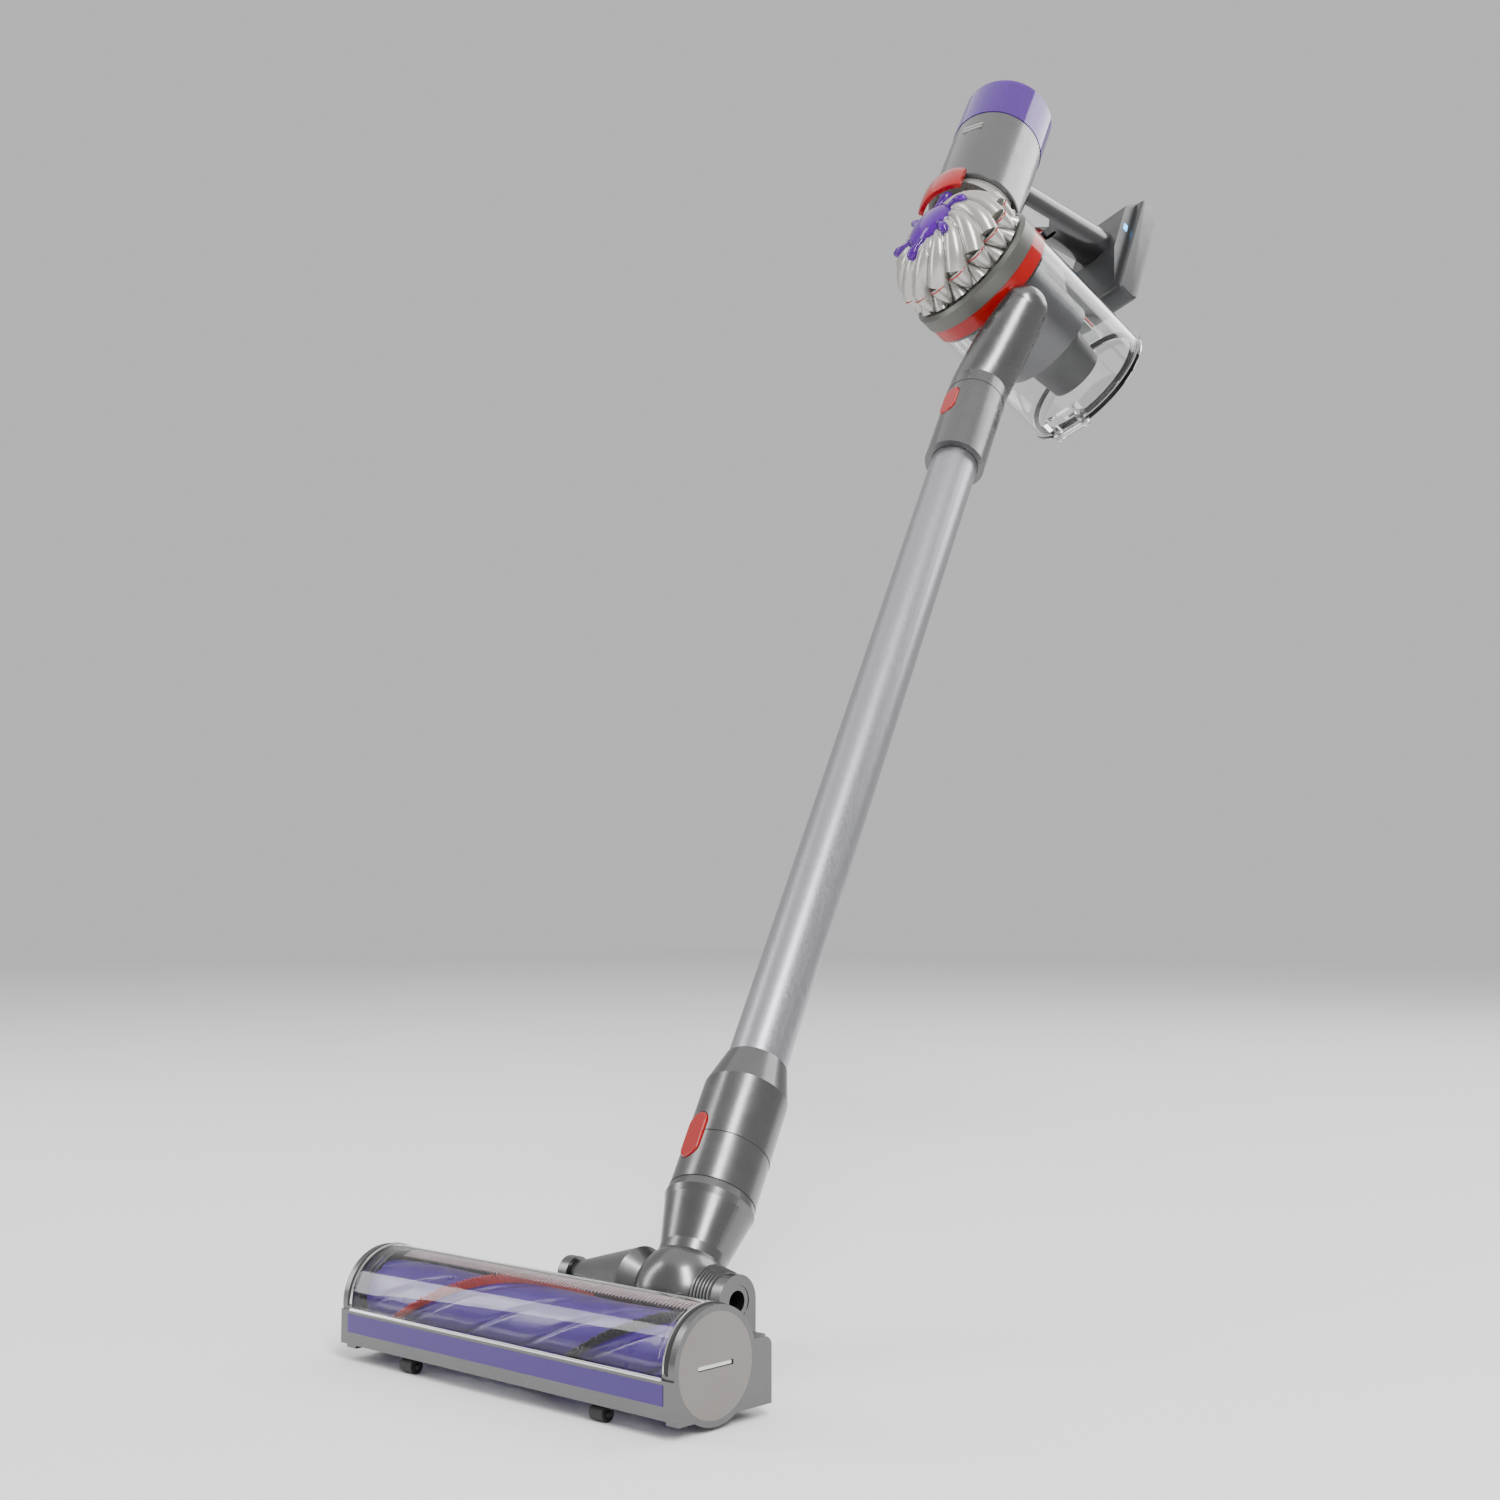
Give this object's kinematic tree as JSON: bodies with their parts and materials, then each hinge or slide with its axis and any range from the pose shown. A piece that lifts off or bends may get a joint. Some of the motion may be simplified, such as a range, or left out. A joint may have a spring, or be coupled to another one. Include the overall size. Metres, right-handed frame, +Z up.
{
  "type": "cordless stick vacuum",
  "caption": "Cordless stick vacuum: motorised brush head with a swivelling neck, pull-out wand, and a handheld unit with cyclones, clear dust bin, filters, trigger and battery.",
  "frame": {"origin": "middle of the hand grip, on its centre line", "axes": "+Z up with the cleaning head flat on the floor, +X towards the head's end cap, -Y towards the head's front"},
  "size_m": [0.3912, 0.9299, 0.971],
  "materials": {
    "wand_satin": "satin",
    "nickel": "gloss",
    "handle_grey": "gloss",
    "dark_matte": "matte",
    "battery_grey": "satin",
    "cyclone_silver": "satin",
    "bezel_olive": "satin",
    "red": "gloss",
    "red_clear": "gloss",
    "purple_clear": "gloss",
    "clear": "gloss",
    "seal_black": "matte",
    "filter_white": "matte",
    "brush_purple": "satin",
    "bristle_red": "matte",
    "bristle_black": "matte",
    "felt_purple": "matte",
    "comb_pale": "satin",
    "cap_taupe": "satin",
    "steel": "satin",
    "board_green": "matte",
    "cell_wrap": "satin",
    "lens_blue": "gloss"
  },
  "bodies": {
    "handheld": {"inlet_duct": "nickel", "clear_bin": "clear", "bin_red_ring": "red_clear", "bin_wiper": "seal_black", "bin_runner": "clear", "base_hinge_pin": "steel", "base_hinge_lugs": "clear", "motor_housing": "nickel", "motor_stator": "steel", "motor_mount": "seal_black", "spine": "handle_grey", "circuit_board": "board_green", "battery_block": "battery_grey", "battery_slab": "battery_grey", "battery_cells": "cell_wrap", "charge_lens": "lens_blue", "handle_right": "handle_grey", "handle_left": "handle_grey"},
    "wand": {"wand_tube": "wand_satin", "wand_plug": "dark_matte", "wand_collar_upper": "nickel", "wand_collar_lower": "nickel"},
    "wand_key": {"wand_button": "red"},
    "inlet_key": {"inlet_button": "red"},
    "trigger": {"trigger": "red"},
    "mode_slider": {"mode_slider": "dark_matte"},
    "bin_flap": {"base_flap": "clear", "base_seal": "seal_black"},
    "cyclone_pack": {"cyclone_cones": "cyclone_silver", "cyclone_lobes": "cyclone_silver", "bezel_ring": "bezel_olive", "shroud": "nickel", "shroud_cone": "dark_matte", "pack_bridge": "cyclone_silver", "release_lever": "red"},
    "pre_filter": {"pre_filter_cap": "purple_clear", "pre_filter_core": "filter_white"},
    "rotor": {"motor_impeller": "steel"},
    "post_filter": {"post_filter_cap": "purple_clear", "post_filter_pleats": "filter_white"},
    "neck": {"neck_elbow": "nickel", "neck_spigot": "dark_matte"},
    "yoke": {"neck_barrel": "nickel", "neck_hub": "nickel", "swivel_pin": "steel"},
    "head": {"head_chassis": "nickel", "head_side_frame": "nickel", "head_left_cap": "nickel", "window_cover": "clear", "window_comb": "comb_pale", "felt_strip": "felt_purple", "brush_motor": "steel"},
    "end_cap": {"end_cap": "cap_taupe"},
    "brush_bar": {"brush_core": "brush_purple", "brush_bristles_red": "bristle_red", "brush_bristles_black": "bristle_black"},
    "front_roller_left": {"front_roller_left": "seal_black"},
    "front_roller_right": {"front_roller_right": "seal_black"},
    "rear_wheel_left": {"rear_wheel_left": "seal_black"},
    "rear_wheel_right": {"rear_wheel_right": "seal_black"}
  },
  "joints": [
    {"name": "wand_pull", "type": "slide", "parent": "handheld", "child": "wand", "axis": [0.1903, -0.6141, -0.7659], "range_m": [0, 0.08]},
    {"name": "wand_key_press", "type": "slide", "parent": "wand", "child": "wand_key", "axis": [0.2498, 0.7848, -0.5672], "range_m": [0, 0.002], "stiffness_N_per_m": 900, "springref_m": -0.002},
    {"name": "neck_pull", "type": "slide", "parent": "wand", "child": "neck", "axis": [0.1903, -0.6141, -0.7659], "range_m": [0, 0.05]},
    {"name": "neck_swivel", "type": "hinge", "parent": "neck", "child": "yoke", "pos_m": [0.19679, -0.69596, -0.80891], "axis": [0, 0.9641, 0.2656], "range_deg": [-44, 8]},
    {"name": "head_pitch", "type": "hinge", "parent": "yoke", "child": "head", "pos_m": [0.19679, -0.69596, -0.80891], "axis": [1, 0, 0], "range_deg": [-37, 45]},
    {"name": "brush_spin", "type": "hinge", "parent": "head", "child": "brush_bar", "pos_m": [0.19179, -0.79596, -0.81291], "axis": [1, 0, 0], "continuous": true},
    {"name": "end_cap_turn", "type": "hinge", "parent": "head", "child": "end_cap", "pos_m": [0.31679, -0.79596, -0.81291], "axis": [1, 0, 0], "range_deg": [0, 90]},
    {"name": "trigger_pull", "type": "slide", "parent": "handheld", "child": "trigger", "axis": [0.2498, 0.7848, -0.5672], "range_m": [0, 0.004], "stiffness_N_per_m": 900, "springref_m": -0.002},
    {"name": "inlet_key_press", "type": "slide", "parent": "handheld", "child": "inlet_key", "axis": [0.2498, 0.7848, -0.5672], "range_m": [0, 0.002], "stiffness_N_per_m": 900, "springref_m": -0.002},
    {"name": "mode_slide", "type": "slide", "parent": "handheld", "child": "mode_slider", "axis": [0.1484, 0.9688, -0.1985], "range_m": [0, 0.006]},
    {"name": "pack_lift", "type": "slide", "parent": "handheld", "child": "cyclone_pack", "axis": [-0.2498, -0.7848, 0.5672], "range_m": [0, 0.055]},
    {"name": "flap_open", "type": "hinge", "parent": "handheld", "child": "bin_flap", "pos_m": [0.05726, -0.08493, -0.20298], "axis": [-0.9494, 0.0834, -0.3027], "range_deg": [0, 80.5]},
    {"name": "pre_filter_pull", "type": "slide", "parent": "cyclone_pack", "child": "pre_filter", "axis": [-0.2498, -0.7848, 0.5672], "range_m": [0, 0.06]},
    {"name": "post_filter_twist", "type": "hinge", "parent": "handheld", "child": "post_filter", "pos_m": [-0.0373, -0.0365, 0.10693], "axis": [-0.1903, 0.6141, 0.7659], "range_deg": [0, 30]},
    {"name": "motor_spin", "type": "hinge", "parent": "handheld", "child": "rotor", "pos_m": [-0.00648, -0.13599, -0.01715], "axis": [-0.1903, 0.6141, 0.7659], "continuous": true},
    {"name": "front_roller_left_spin", "type": "hinge", "parent": "head", "child": "front_roller_left", "pos_m": [0.11979, -0.81896, -0.83891], "axis": [1, 0, 0], "continuous": true},
    {"name": "rear_wheel_left_spin", "type": "hinge", "parent": "head", "child": "rear_wheel_left", "pos_m": [0.11439, -0.69596, -0.83691], "axis": [1, 0, 0], "continuous": true},
    {"name": "front_roller_right_spin", "type": "hinge", "parent": "head", "child": "front_roller_right", "pos_m": [0.26379, -0.81896, -0.83891], "axis": [1, 0, 0], "continuous": true},
    {"name": "rear_wheel_right_spin", "type": "hinge", "parent": "head", "child": "rear_wheel_right", "pos_m": [0.23119, -0.69596, -0.83691], "axis": [1, 0, 0], "continuous": true}
  ],
  "couplings": [
    {"joint": "flap_open", "follows": "pack_lift", "rad_per_m": 25.387}
  ]
}
